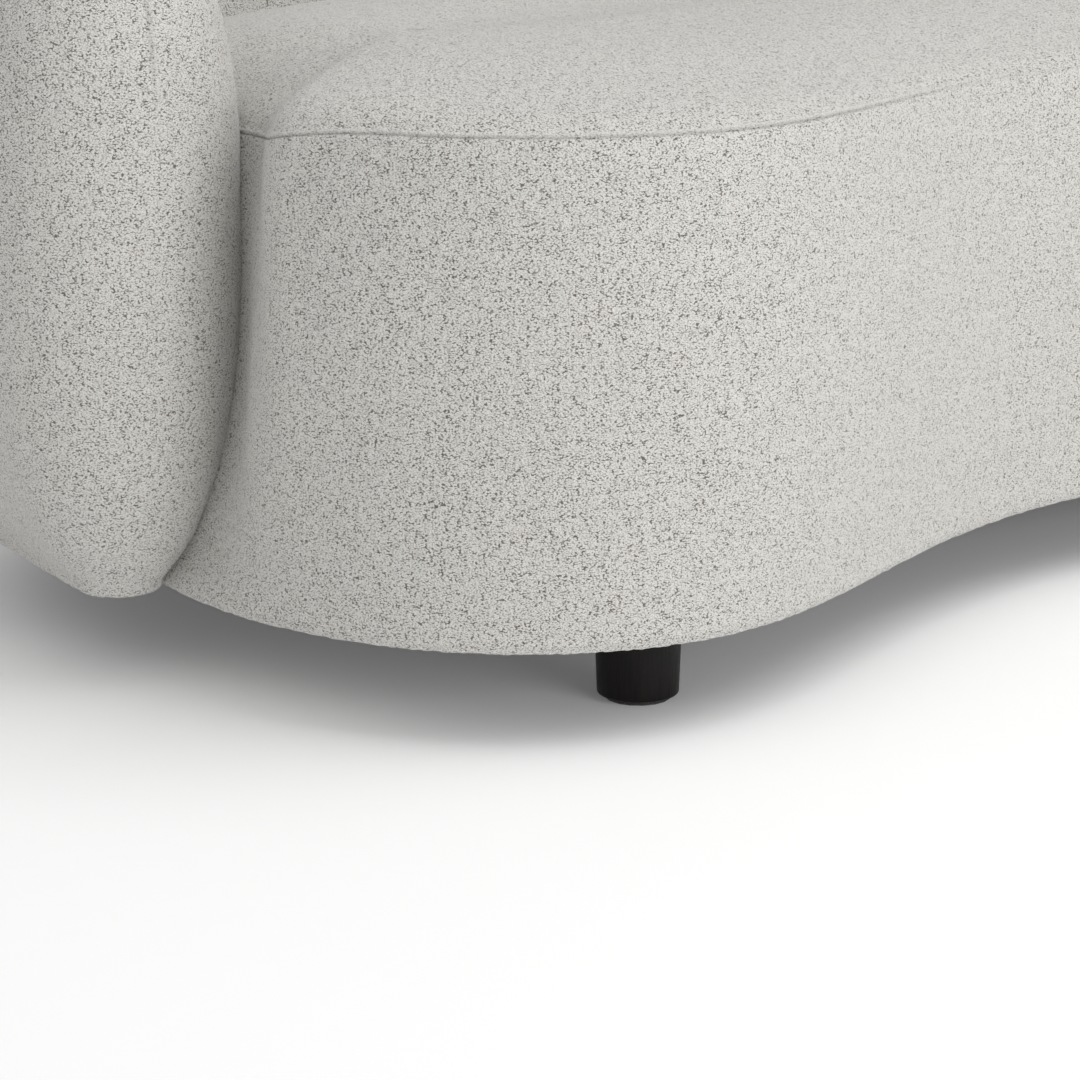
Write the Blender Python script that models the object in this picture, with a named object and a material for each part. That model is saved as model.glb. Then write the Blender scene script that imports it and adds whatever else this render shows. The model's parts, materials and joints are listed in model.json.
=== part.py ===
"""Curved sofa: a kidney-shaped tight seat held by one padded back that sweeps into both arms.

Metres, +Z up, the front faces -Y, the length runs along X, and the floor is Z = 0.
"""
import math

import bmesh
import bpy
import numpy as np

for item in list(bpy.data.objects):
    bpy.data.objects.remove(item, do_unlink=True)

# Plan of the back and arms: two short straight arms joined by half of a superellipse
PATH_HALF_WIDTH = 1.068
PATH_FRONT_Y = -0.232
PATH_REAR_Y = 0.430
PATH_POWER = 2.2
ARM_RUN = 0.142
PATH_STATIONS = 35

# Upright section of the back and arms
ARM_HALF_THICKNESS = 0.0945
BACK_HALF_THICKNESS = 0.138
ARM_TOP = 0.56
BACK_TOP = 0.75
WIDEST_Z = 0.32
LOWER_RADIUS = 0.25
LOWER_POWER = 2.2
UPPER_POWER = 2.6
FOOT_RATIO = 0.33
ARM_TIP_SIDE = np.array((1.0, 0.0))
ARM_TIP_FRONT = np.array((0.0, -1.0))

# Seat block
UNDERSIDE_Z = 0.065
SEAM_Z = 0.41
SEAM_DROP = 0.017
SEAM_DROP_SPAN = (-0.50, -0.27)
SEAM_RISE_SPAN = (-0.24, 0.00)
SEAM_DROP_START_Z = 0.30
FACE_BULGE = 0.008
CROWN_RISE = 0.032
CROWN_SHARE = 0.35
SPINE_Y = -0.04
SPINE_BEND = 0.33
SPINE_SHORTENING = 0.25
SEAT_TO_WALL_GAP = 0.003
LOWER_LEVELS = (UNDERSIDE_Z, 0.085, 0.11, 0.15, 0.21)
FRONT_STATIONS = 25
SIDE_STATIONS = 15
TIP_STATIONS = 8
TIP_STEPS = 300

# Seat front: a shallow hollow in the middle, a lobe on each side, and a flank behind each arm
HOLLOW_Y = -0.344
HOLLOW_SWEEP = 1.75
LOBE_X = 0.79
LOBE_Y = -0.56
SHOULDER_WIDTH = 0.25
SHOULDER_Y = -0.25
SHOULDER_POWER = 2.1
FLANK_TUCK = 0.060
FLANK_TUCK_SPAN = (-0.41, -0.29)

# Thicknesses and running gaps
COVER = 0.003
GAP = 0.0004
SEAT_SKIRT = 0.030
SEAT_FOAM_CUT_X = 0.38
SLOT_HALF_WIDTH = 0.0215
SLOT_BELOW_TOP = 0.075

# Timber frame
PANEL_BOTTOM = 0.067
PANEL_TOP = 0.085
PANEL_OUTLINE_Z = 0.115
RAIL_THICKNESS = 0.022
RAIL_TOP = 0.285
CROSS_RAIL_TOP = 0.20
CROSS_RAIL_X = (-0.62, -0.21, 0.21, 0.62)
POST_STATIONS = (0.035, 0.17, 0.33, 0.5, 0.67, 0.83, 0.965)
POST_SIZE = (0.044, 0.033)
SOLE_HALF_WIDTH = 0.0205
TOP_RAIL_HEIGHT = 0.045
FRONT_RAIL_END_X = (0.915, 0.897)
REAR_RAIL_START_Y = -0.200

# Webbing straps
STRAP_X = (-0.78, -0.52, -0.26, 0.0, 0.26, 0.52, 0.78)
STRAP_WIDTH = 0.06
STRAP_THICKNESS = 0.002

# Legs
LEG_PLACES = (
    ("front_left", -0.773, -0.460), ("front_middle", 0.0, -0.215), ("front_right", 0.773, -0.460),
    ("rear_left", -0.655, 0.050), ("rear_middle", 0.0, 0.185), ("rear_right", 0.655, 0.050),
)
LEG_TOP_RADIUS = 0.031
LEG_FOOT_RADIUS = 0.029
GLIDE_HEIGHT = 0.003
BOLT_RADIUS = 0.004
BOLT_SPAN = (0.030, 0.0835)
DUST_COVER_SPAN = (0.0637, 0.0647)
BOLT_BORE_RADIUS = 0.0058
DUST_COVER_END_X = 0.94
DUST_COVER_NOTCH = (1.0, -0.22)
LEG_SEGMENTS = 20
BOLT_SEGMENTS = 10


def smoothstep(value):
    """Cubic ease from 0 to 1, flat at both ends."""
    value = np.clip(value, 0.0, 1.0)
    return value * value * (3.0 - 2.0 * value)


def ease_between(value, span):
    """Ease from 0 at the start of a span to 1 at its end."""
    return smoothstep((value - span[0]) / (span[1] - span[0]))


def resample(line, count):
    """Spread count points evenly by length along a polyline."""
    steps = np.linalg.norm(np.diff(line, axis=0), axis=1)
    run = np.concatenate([[0.0], np.cumsum(steps)])
    places = np.linspace(0.0, run[-1], count)
    return np.stack([np.interp(places, run, line[:, k]) for k in range(line.shape[1])], axis=1)


def unit_normals(line):
    """Left-hand unit normals of a plan polyline."""
    along = np.gradient(line, axis=0)
    along /= np.linalg.norm(along, axis=1)[:, None]
    return np.stack([-along[:, 1], along[:, 0]], axis=1)


def wall_path(count):
    """Centre line of the back from the left arm tip to the right one, with normals into the seat."""
    angle = np.linspace(math.pi, 0.0, 2001)
    power = 2.0 / PATH_POWER
    bend_y = PATH_FRONT_Y + ARM_RUN
    x = PATH_HALF_WIDTH * np.sign(np.cos(angle)) * np.abs(np.cos(angle)) ** power
    y = bend_y + (PATH_REAR_Y - bend_y) * np.abs(np.sin(angle)) ** power
    arm = np.linspace((-PATH_HALF_WIDTH, PATH_FRONT_Y), (-PATH_HALF_WIDTH, bend_y), 40, endpoint=False)
    mirrored = arm[::-1] * np.array((-1.0, 1.0))
    line = resample(np.concatenate([arm, np.stack([x, y], axis=1), mirrored]), count)
    inward = -unit_normals(line)
    inward[0] = (1.0, 0.0)
    inward[-1] = (-1.0, 0.0)
    return line, inward


def wall_rise(share):
    """0 on the low arms, 1 along the high back, by share of the path length."""
    return smoothstep((np.minimum(share, 1.0 - share) - 0.07) / 0.30)


def wall_top(share):
    """Height of the upholstered top edge."""
    return ARM_TOP + (BACK_TOP - ARM_TOP) * wall_rise(share)


def wall_thickness(share):
    """Half thickness at the widest level."""
    return ARM_HALF_THICKNESS + (BACK_HALF_THICKNESS - ARM_HALF_THICKNESS) * wall_rise(share)


def section(z, top):
    """Share of the full half thickness at height z: tucked foot, round belly, domed top."""
    drop = np.clip((WIDEST_Z - z) / LOWER_RADIUS, 0.0, 1.0)
    arc = (1.0 - drop ** LOWER_POWER) ** (1.0 / LOWER_POWER)
    lower = (arc ** 4 + FOOT_RATIO ** 4) ** 0.25 / (1.0 + FOOT_RATIO ** 4) ** 0.25
    lift = np.clip((z - WIDEST_Z) / (top - WIDEST_Z), 0.0, 1.0)
    upper = (1.0 - lift ** UPPER_POWER) ** (1.0 / UPPER_POWER)
    return np.where(z < WIDEST_Z, lower, upper)


def wall_radius(share, z):
    """Half thickness of the padded wall at height z."""
    return wall_thickness(share) * section(z, wall_top(share))


def skin(build, rings, cyclic=False):
    """Lay quads between equal closed rings; cyclic also joins the last ring to the first."""
    grid = [[build.verts.new(point) for point in ring] for ring in rings]
    columns = len(grid[0])
    for row in range(len(grid) if cyclic else len(grid) - 1):
        lower = grid[row]
        upper = grid[(row + 1) % len(grid)]
        for column in range(columns):
            after = (column + 1) % columns
            build.faces.new((lower[column], lower[after], upper[after], upper[column]))
    return grid


def cap(build, rings):
    """Fill end rings with triangles."""
    ends = [build.faces.new(ring) for ring in rings]
    for face in ends:
        face.normal_update()
    bmesh.ops.triangulate(build, faces=ends)


def close_up(build):
    """Merge collapsed rings and turn every face outward."""
    bmesh.ops.remove_doubles(build, verts=build.verts, dist=1e-6)
    bmesh.ops.dissolve_degenerate(build, edges=build.edges, dist=1e-6)
    bmesh.ops.recalc_face_normals(build, faces=build.faces)


def body(name, rings, material, cyclic=False, capped=False):
    """Skin a list of rings into one closed body; capped fills the first and last ring."""
    build = bmesh.new()
    grid = skin(build, rings, cyclic)
    if capped:
        cap(build, (grid[0], grid[-1]))
    close_up(build)
    return finish(name, build, material)


def open_shell(outer, inner, capped=False):
    """An outer and an inner skin joined by a rim at their first rings, open underneath."""
    build = bmesh.new()
    grids = [skin(build, outer), skin(build, inner)]
    if capped:
        cap(build, [grid[-1] for grid in grids])
    columns = len(grids[0][0])
    for column in range(columns):
        after = (column + 1) % columns
        build.faces.new((grids[0][0][column], grids[0][0][after],
                         grids[1][0][after], grids[1][0][column]))
    close_up(build)
    bmesh.ops.triangulate(build, faces=build.faces, quad_method="FIXED")
    return build


def cut_away(build, x, outward):
    """Cut a body at an upright plane, drop the part on its outward side and fill the cut face."""
    everything = [*build.verts, *build.edges, *build.faces]
    cut = bmesh.ops.bisect_plane(build, geom=everything, dist=1e-6, clear_outer=True,
                                 plane_co=(x, 0.0, 0.0), plane_no=(outward, 0.0, 0.0))
    rim = [part for part in cut["geom_cut"] if isinstance(part, bmesh.types.BMEdge)]
    filled = bmesh.ops.contextual_create(build, geom=rim)["faces"]
    for face in filled:
        face.normal_update()
    bmesh.ops.triangulate(build, faces=filled, ngon_method="EAR_CLIP")
    bmesh.ops.recalc_face_normals(build, faces=build.faces)


def finish(name, build, material):
    """Turn a bmesh into a scene object with its own material."""
    mesh = bpy.data.meshes.new(name)
    if build.calc_volume(signed=True) < 0:
        bmesh.ops.reverse_faces(build, faces=build.faces)
    build.to_mesh(mesh)
    build.free()
    item = bpy.data.objects.new(name, mesh)
    bpy.context.scene.collection.objects.link(item)
    mesh.materials.append(material(name))
    return item


def shade_round(item, degrees=35.0):
    """Shade a body smooth but keep edges sharper than the angle."""
    item.data.shade_smooth()
    item.data.set_sharp_from_angle(angle=math.radians(degrees))


def surface(name, color, roughness, metallic=0.0):
    """A plain material with its own name."""
    made = bpy.data.materials.new(name)
    made.use_nodes = True
    shader = made.node_tree.nodes["Principled BSDF"]
    shader.inputs["Base Color"].default_value = (*color, 1.0)
    shader.inputs["Roughness"].default_value = roughness
    shader.inputs["Metallic"].default_value = metallic
    made.diffuse_color = (*color, 1.0)
    return made


def boucle(name):
    return surface(f"boucle_{name}", (0.56, 0.54, 0.50), 0.95)


def foam(name):
    return surface(f"foam_{name}", (0.78, 0.72, 0.52), 0.9)


def cambric(name):
    return surface(f"cambric_{name}", (0.03, 0.03, 0.03), 0.9)


def plywood(name):
    return surface(f"plywood_{name}", (0.62, 0.47, 0.30), 0.7)


def pine(name):
    return surface(f"pine_{name}", (0.66, 0.49, 0.29), 0.75)


def dark_wood(name):
    return surface(f"dark_wood_{name}", (0.018, 0.013, 0.011), 0.45)


def webbing(name):
    return surface(f"webbing_{name}", (0.10, 0.10, 0.11), 0.85)


def zinc_steel(name):
    return surface(f"zinc_steel_{name}", (0.62, 0.62, 0.60), 0.35, 1.0)


def glide_plastic(name):
    return surface(f"glide_plastic_{name}", (0.05, 0.05, 0.05), 0.5)


def wall_ring(radius, height):
    """Closed plan outline around the path: outer side, right arm tip, inner side, left arm tip."""
    line, inward = wall_path(PATH_STATIONS)
    turn = np.linspace(0.0, math.pi, 9)[1:-1]
    tip = ARM_TIP_SIDE * np.cos(turn)[:, None] + ARM_TIP_FRONT * np.sin(turn)[:, None]
    outer = np.column_stack([line - inward * radius[:, None], height])
    inner = np.column_stack([line + inward * radius[:, None], height])[::-1]
    right = np.column_stack([line[-1] + radius[-1] * tip, np.full(len(turn), height[-1])])
    mirrored = tip[::-1] * np.array((-1.0, 1.0))
    left = np.column_stack([line[0] + radius[0] * mirrored, np.full(len(turn), height[0])])
    return np.concatenate([outer, right, inner, left])


def wall_skin(inset, inset_top):
    """Rings of the padded wall from its open bottom to the ridge, moved inward by an inset."""
    share = np.linspace(0.0, 1.0, PATH_STATIONS)
    rings = []
    for z in LOWER_LEVELS:
        height = np.full(PATH_STATIONS, z)
        rings.append(wall_ring(wall_radius(share, height) - inset, height))
    power = 2.0 / UPPER_POWER
    for turn in np.linspace(0.0, math.pi / 2.0, 6):
        rise = wall_top(share) - inset_top - WIDEST_Z
        radius = (wall_thickness(share) - inset) * max(math.cos(turn), 0.0) ** power
        if turn > 1.57:
            radius = radius * 0.0
        rings.append(wall_ring(radius, WIDEST_Z + rise * math.sin(turn) ** power))
    return rings


def make_back():
    """Cover shell and foam of the one-piece back and arms, both open underneath."""
    outer = wall_skin(0.0, 0.0)
    inner = wall_skin(COVER, COVER)
    shade_round(finish("back_cover", open_shell(outer, inner), boucle), 60.0)
    share = np.linspace(0.0, 1.0, PATH_STATIONS)
    slot_top = wall_top(share) - SLOT_BELOW_TOP
    slot = np.full(PATH_STATIONS, SLOT_HALF_WIDTH)
    floor = np.full(PATH_STATIONS, UNDERSIDE_Z)
    hollow = [wall_ring(slot, floor), wall_ring(slot, slot_top), wall_ring(slot * 0.0, slot_top)]
    padding = wall_skin(COVER + GAP, COVER + GAP)
    shade_round(finish("back_foam", open_shell(padding, hollow), foam))


def front_half(z, inset):
    """Right half of the seat front at level z, from the middle to behind the arm, moved inward.

    Out to the lobe, y falls with the square of the sine of (x / LOBE_X) ** HOLLOW_SWEEP. The
    shoulder is a quarter of a superellipse. The flank tucks in where the arm's belly swells.
    """
    x = np.linspace(0.0, LOBE_X, 400, endpoint=False)
    fall = np.sin(math.pi / 2.0 * (x / LOBE_X) ** HOLLOW_SWEEP) ** 2
    hollow = np.stack([x, HOLLOW_Y + (LOBE_Y - HOLLOW_Y) * fall], axis=1)
    turn = np.linspace(0.0, math.pi / 2.0, 300)
    power = 2.0 / SHOULDER_POWER
    shoulder = np.stack([LOBE_X + SHOULDER_WIDTH * np.sin(turn) ** power,
                         SHOULDER_Y + (LOBE_Y - SHOULDER_Y) * np.abs(np.cos(turn)) ** power], axis=1)
    flank_end = [(LOBE_X + SHOULDER_WIDTH, PATH_FRONT_Y)]
    line = resample(np.concatenate([hollow, shoulder, flank_end]), 2500)
    swell = (section(np.array(z), ARM_TOP) - FOOT_RATIO) / (1.0 - FOOT_RATIO)
    reach = ease_between(line[:, 1], FLANK_TUCK_SPAN)
    line[:, 0] -= np.where(line[:, 0] > LOBE_X, FLANK_TUCK * swell * reach, 0.0)
    return line + unit_normals(line) * inset


def seam_drop(z, plan):
    """How far the seat's top edge sinks beside the arm tips; it fades down the face and behind."""
    down = ease_between(z, (SEAM_DROP_START_Z, SEAM_Z))
    sink = ease_between(plan[:, 1], SEAM_DROP_SPAN) - ease_between(plan[:, 1], SEAM_RISE_SPAN)
    return SEAM_DROP * down * np.where(np.abs(plan[:, 0]) > LOBE_X, sink, 0.0)


def wall_side_half(z, inset):
    """Right half of the seat's edge against the wall: round the arm tip, then to the back middle."""
    line, inward = wall_path(401)
    share = np.linspace(0.0, 1.0, 401)
    reach = wall_radius(share, np.full(401, z)) + SEAT_TO_WALL_GAP + inset
    inner = (line + inward * reach[:, None])[200:][::-1]
    turn = np.linspace(math.pi / 2.0, math.pi, TIP_STEPS)
    tip = np.stack([np.cos(turn), -np.sin(turn)], axis=1)
    around = line[-1] + reach[-1] * tip
    return np.concatenate([around[:-1], inner])


def seat_ring(z, inset, bulge=0.0, height=None):
    """Closed outline of the seat at level z, from the front middle counter-clockwise."""
    front = front_half(z, inset - bulge)
    side = wall_side_half(z, inset)
    gaps = np.linalg.norm(front[:, None, :] - side[None, :, :], axis=2)
    row, column = np.unravel_index(np.argmin(gaps), gaps.shape)
    front = np.concatenate([front[:row], side[column:column + 1]])
    front = resample(front, FRONT_STATIONS)
    tip = resample(side[column:max(TIP_STEPS, column + 2)], TIP_STATIONS)
    side = resample(side[max(TIP_STEPS, column + 2) - 1:], SIDE_STATIONS)
    right = np.concatenate([front, tip[1:], side[1:]])
    left = right[1:-1][::-1] * np.array((-1.0, 1.0))
    plan = np.concatenate([right, left])
    level = z if height is None else height
    return np.column_stack([plan, level - seam_drop(z, plan)])


def face_bulge(z):
    """Outward swell of the seat's front face, none at the bottom edge."""
    share = (z - UNDERSIDE_Z) / (SEAM_Z - UNDERSIDE_Z)
    return FACE_BULGE * math.sin(math.pi * min(max(share, 0.0), 1.0)) ** 0.5


def seat_crown(edge, height):
    """Ring drawn in from the crown's edge toward a curved spine along the seat, all at one level."""
    spine_y = SPINE_Y - SPINE_BEND * edge[:, 0] ** 2
    x = edge[:, 0] * (1.0 - CROWN_SHARE * SPINE_SHORTENING)
    y = edge[:, 1] + CROWN_SHARE * (spine_y - edge[:, 1])
    return np.column_stack([x, y, np.full(len(x), height)])


def seat_skin(inset, drop):
    """Rings of the seat from its open bottom, past the seam, over the crown."""
    rings = []
    for z in (*LOWER_LEVELS, WIDEST_Z, SEAM_Z - 0.012):
        rings.append(seat_ring(z, inset, face_bulge(z)))
    for step_in, rise in ((0.006, 0.0), (0.040, 0.014)):
        rings.append(seat_ring(SEAM_Z, inset + step_in, 0.0, SEAM_Z + rise - drop))
    rings.append(seat_crown(rings[-1], SEAM_Z + CROWN_RISE - drop))
    return rings


def make_seat():
    """Seat cover and the three foam blocks under it, with a cavity for the frame."""
    cover = open_shell(seat_skin(0.0, 0.0), seat_skin(COVER, COVER), True)
    shade_round(finish("seat_cover", cover, boucle), 60.0)
    hollow = []
    for z in (UNDERSIDE_Z, 0.15, 0.288):
        hollow.append(seat_ring(z, COVER + GAP + SEAT_SKIRT, 0.0))
    padding = seat_skin(COVER + GAP, COVER + GAP)
    near = SEAT_FOAM_CUT_X - GAP / 2.0
    far = SEAT_FOAM_CUT_X + GAP / 2.0
    cuts = {"left": [(-far, 1.0)], "middle": [(-near, -1.0), (near, 1.0)], "right": [(far, -1.0)]}
    for place, planes in cuts.items():
        block = open_shell(padding, hollow, True)
        for x, outward in planes:
            cut_away(block, x, outward)
        shade_round(finish(f"seat_foam_{place}", block, foam))


def sheet(name, outline, span, holes, material):
    """A flat sheet with round holes: one plan outline, filled and given thickness."""
    build = bmesh.new()
    loops = [outline] + holes
    edges = []
    for loop in loops:
        ring = [build.verts.new((x, y, span[0])) for x, y in loop]
        for here, after in zip(ring, ring[1:] + ring[:1]):
            edges.append(build.edges.new((here, after)))
    bmesh.ops.triangle_fill(build, use_beauty=True, edges=edges)
    made = bmesh.ops.extrude_face_region(build, geom=list(build.faces))
    raised = [part for part in made["geom"] if isinstance(part, bmesh.types.BMVert)]
    bmesh.ops.translate(build, verts=raised, vec=(0.0, 0.0, span[1] - span[0]))
    bmesh.ops.recalc_face_normals(build, faces=build.faces)
    return finish(name, build, material)


def circle(x, y, radius, count=16):
    """Plan points of a circle."""
    turn = np.linspace(0.0, 2.0 * math.pi, count, endpoint=False)
    return np.stack([x + radius * np.cos(turn), y + radius * np.sin(turn)], axis=1)


def underside_outline():
    """Outline of the whole underside, a little inside the fabric's bottom edge."""
    share = np.linspace(0.0, 1.0, PATH_STATIONS)
    line, inward = wall_path(PATH_STATIONS)
    foot = wall_radius(share, np.full(PATH_STATIONS, UNDERSIDE_Z)) - 0.012
    outer = (line - inward * foot[:, None])[::-1]
    front = front_half(UNDERSIDE_Z, 0.018)
    front = resample(front[front[:, 0] < DUST_COVER_END_X], 30)
    half = outer[:PATH_STATIONS // 2 + 1]
    right = np.concatenate([front, [DUST_COVER_NOTCH], half])
    left = right[1:-1][::-1] * np.array((-1.0, 1.0))
    return np.concatenate([right, left])


def make_sheets():
    """Plywood base panel and the dust cover, both drilled for the leg bolts."""
    panel = seat_ring(PANEL_OUTLINE_Z, COVER + GAP + SEAT_SKIRT + 0.008)[:, :2]
    bores = [circle(x, y, BOLT_BORE_RADIUS) for _, x, y in LEG_PLACES]
    sheet("base_panel", panel, (PANEL_BOTTOM, PANEL_TOP), bores, plywood)
    sheet("dust_cover", underside_outline(), DUST_COVER_SPAN, bores, cambric)


def strip(name, near, far, span, material):
    """An upright curved board between two plan lines."""
    plan = np.concatenate([near, far[::-1]])
    rings = [np.column_stack([plan, np.full(len(plan), z)]) for z in span]
    return body(name, rings, material, capped=True)


def full_line(half):
    """Mirror a right-half plan line about the middle."""
    return np.concatenate([half[:0:-1] * np.array((-1.0, 1.0)), half])


def rail_lines():
    """Plan lines of the front rail and rear rail: outer and inner faces of each."""
    outer = COVER + GAP + SEAT_SKIRT + 0.009
    fronts = []
    for inset in (outer, outer + RAIL_THICKNESS):
        half = front_half(WIDEST_Z, inset)
        fronts.append(resample(half[half[:, 0] < FRONT_RAIL_END_X[len(fronts)]], 22))
    rears = []
    for inset in (outer, outer + RAIL_THICKNESS):
        side = wall_side_half(WIDEST_Z, inset)[TIP_STEPS - 1:]
        rears.append(resample(side[side[:, 1] > REAR_RAIL_START_Y][::-1], 20))
    return [full_line(line) for line in fronts + rears]


def make_rails():
    """Serpentine front rail, curved rear rail, short end rails and straight cross rails."""
    front_outer, front_inner, rear_outer, rear_inner = rail_lines()
    strip("front_rail", front_outer, front_inner, (PANEL_TOP + GAP, RAIL_TOP), plywood)
    strip("rear_rail", rear_outer, rear_inner, (PANEL_TOP + GAP, RAIL_TOP), plywood)
    for side, label in ((-1.0, "left"), (1.0, "right")):
        start = (front_outer[-1] + front_inner[-1]) * 0.5
        stop = (rear_outer[-1] + rear_inner[-1]) * 0.5
        along = (stop - start) / np.linalg.norm(stop - start)
        across = np.array((-along[1], along[0])) * RAIL_THICKNESS * 0.5
        start = start + along * 0.016
        stop = stop - along * 0.004
        near = np.array([start - across, stop - across]) * np.array((side, 1.0))
        far = np.array([start + across, stop + across]) * np.array((side, 1.0))
        strip(f"end_rail_{label}", near, far, (PANEL_TOP + GAP, RAIL_TOP), plywood)
    for number, x in enumerate(CROSS_RAIL_X, 1):
        edges = np.linspace(x - RAIL_THICKNESS / 2, x + RAIL_THICKNESS / 2, 5)
        front_y = np.interp(edges, front_inner[:, 0], front_inner[:, 1]).max() + 0.001
        rear_y = np.interp(edges, rear_inner[:, 0], rear_inner[:, 1]).min() - 0.001
        near = np.array([(edges[0], front_y), (edges[0], rear_y)])
        far = np.array([(edges[-1], front_y), (edges[-1], rear_y)])
        strip(f"cross_rail_{number}", near, far, (PANEL_TOP + GAP, CROSS_RAIL_TOP), plywood)


def make_straps():
    """Webbing straps pulled over the rails from front to back."""
    front_outer, front_inner, rear_outer, rear_inner = rail_lines()
    front = (front_outer + front_inner) * 0.5
    rear = (rear_outer + rear_inner) * 0.5
    bottom = RAIL_TOP + GAP
    for number, x in enumerate(STRAP_X, 1):
        edges = np.linspace(x - STRAP_WIDTH / 2, x + STRAP_WIDTH / 2, 5)
        front_y = np.interp(edges, front[:, 0], front[:, 1]).max()
        rear_y = np.interp(edges, rear[:, 0], rear[:, 1]).min()
        near = np.array([(edges[0], front_y), (edges[0], rear_y)])
        far = np.array([(edges[-1], front_y), (edges[-1], rear_y)])
        strip(f"web_strap_{number}", near, far, (bottom, bottom + STRAP_THICKNESS), webbing)


def make_wall_frame():
    """Sole rail, top rail and posts standing in the slot of the back foam."""
    share = np.linspace(0.0, 1.0, PATH_STATIONS)
    width = np.full(PATH_STATIONS, SOLE_HALF_WIDTH)
    top = wall_top(share) - SLOT_BELOW_TOP - 0.001
    spans = {"back_sole_rail": (share * 0 + PANEL_BOTTOM, share * 0 + PANEL_TOP),
             "back_top_rail": (top - TOP_RAIL_HEIGHT, top)}
    for name, (low, high) in spans.items():
        rings = [wall_ring(width * 0, low), wall_ring(width, low),
                 wall_ring(width, high), wall_ring(width * 0, high)]
        body(name, rings, plywood)
    line, inward = wall_path(401)
    for number, place in enumerate(POST_STATIONS, 1):
        row = int(round(place * 400))
        across = inward[row] * POST_SIZE[1] / 2
        along = np.array((inward[row][1], -inward[row][0])) * POST_SIZE[0] / 2
        reach = POST_SIZE[0] / 2 / 2.75 + 0.002
        ends = np.array((place - reach, place, place + reach))
        height = wall_top(ends).min() - SLOT_BELOW_TOP - 0.001 - TOP_RAIL_HEIGHT - 0.004
        near = np.array([line[row] - along - across, line[row] + along - across])
        far = np.array([line[row] - along + across, line[row] + along + across])
        strip(f"back_post_{number}", near, far, (PANEL_TOP + GAP, height), pine)


def turned(name, profile, x, y, segments, material):
    """A round solid about a vertical axis; its profile of (radius, height) is a closed loop."""
    turn = np.linspace(0.0, 2.0 * math.pi, segments, endpoint=False)
    rings = []
    for radius, height in profile:
        rings.append(np.stack([radius * np.cos(turn), radius * np.sin(turn),
                               np.full(segments, height)], axis=1))
    item = body(name, rings, material, cyclic=profile[0][0] > 0.0)
    item.location = (x, y, 0.0)
    shade_round(item)
    return item


def make_legs():
    """Six turned legs, each with a glide, a hanger bolt and a T-nut in the base panel."""
    leg_bottom = GLIDE_HEIGHT + GAP
    leg_top = DUST_COVER_SPAN[0] - GAP
    bore = BOLT_RADIUS + GAP
    depth = BOLT_SPAN[0] - 0.002
    leg_profile = ((0.0, leg_bottom), (LEG_FOOT_RADIUS - 0.002, leg_bottom),
                   (LEG_FOOT_RADIUS, leg_bottom + 0.002), (LEG_TOP_RADIUS, leg_top),
                   (bore, leg_top), (bore, depth), (0.0, depth))
    glide_profile = ((0.0, 0.0), (0.023, 0.0), (0.024, 0.001),
                     (0.024, GLIDE_HEIGHT), (0.0, GLIDE_HEIGHT))
    bolt_profile = ((0.0, BOLT_SPAN[0]), (BOLT_RADIUS - 0.001, BOLT_SPAN[0]),
                    (BOLT_RADIUS, BOLT_SPAN[0] + 0.001), (BOLT_RADIUS, BOLT_SPAN[1]),
                    (0.0, BOLT_SPAN[1]))
    flange = PANEL_TOP + GAP
    nut_profile = ((bore, 0.070), (0.0054, 0.070), (0.0054, flange), (0.011, flange),
                   (0.011, flange + 0.0015), (bore, flange + 0.0015))
    for label, x, y in LEG_PLACES:
        turned(f"leg_{label}", leg_profile, x, y, LEG_SEGMENTS, dark_wood)
        turned(f"leg_glide_{label}", glide_profile, x, y, 16, glide_plastic)
        turned(f"leg_bolt_{label}", bolt_profile, x, y, BOLT_SEGMENTS, zinc_steel)
        turned(f"leg_nut_{label}", nut_profile, x, y, BOLT_SEGMENTS, zinc_steel)


make_seat()
make_back()
make_sheets()
make_rails()
make_straps()
make_wall_frame()
make_legs()
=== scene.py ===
"""Curved tight-seat sofa: looped fabric on a kidney-shaped seat and a wrapping back, dark legs.

Everything is in metres in the part's own frame: +X along the sofa, -Y to the front, +Z up.
"""

import json
import math

import bmesh
import bpy
import numpy as np
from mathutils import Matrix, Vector


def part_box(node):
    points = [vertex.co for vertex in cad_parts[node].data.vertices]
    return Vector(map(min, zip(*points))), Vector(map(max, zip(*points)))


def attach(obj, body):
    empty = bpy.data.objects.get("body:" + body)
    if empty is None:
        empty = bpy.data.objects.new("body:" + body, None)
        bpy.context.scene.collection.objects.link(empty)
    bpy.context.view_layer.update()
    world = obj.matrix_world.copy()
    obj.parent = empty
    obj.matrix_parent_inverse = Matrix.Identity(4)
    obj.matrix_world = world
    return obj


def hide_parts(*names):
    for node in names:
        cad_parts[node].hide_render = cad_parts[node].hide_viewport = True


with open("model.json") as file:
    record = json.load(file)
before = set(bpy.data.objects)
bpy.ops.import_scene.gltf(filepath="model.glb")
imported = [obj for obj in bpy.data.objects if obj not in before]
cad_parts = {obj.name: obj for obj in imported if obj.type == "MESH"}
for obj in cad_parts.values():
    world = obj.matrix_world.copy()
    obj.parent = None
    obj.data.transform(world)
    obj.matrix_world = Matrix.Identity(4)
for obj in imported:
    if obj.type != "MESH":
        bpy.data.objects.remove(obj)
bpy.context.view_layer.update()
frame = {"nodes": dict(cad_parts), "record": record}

# Plan of the back and arms: two short straight arms joined by half of a superellipse
PATH_HALF_WIDTH = 1.068
PATH_FRONT_Y = -0.232
PATH_REAR_Y = 0.430
PATH_POWER = 2.2
ARM_RUN = 0.142

# Upright section of the back and arms
ARM_HALF_THICKNESS = 0.0945
BACK_HALF_THICKNESS = 0.138
ARM_TOP = 0.56
BACK_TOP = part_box("back_cover")[1][2]
WIDEST_Z = 0.32
LOWER_RADIUS = 0.25
LOWER_POWER = 2.2
UPPER_POWER = 2.6
FOOT_RATIO = 0.33

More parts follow.
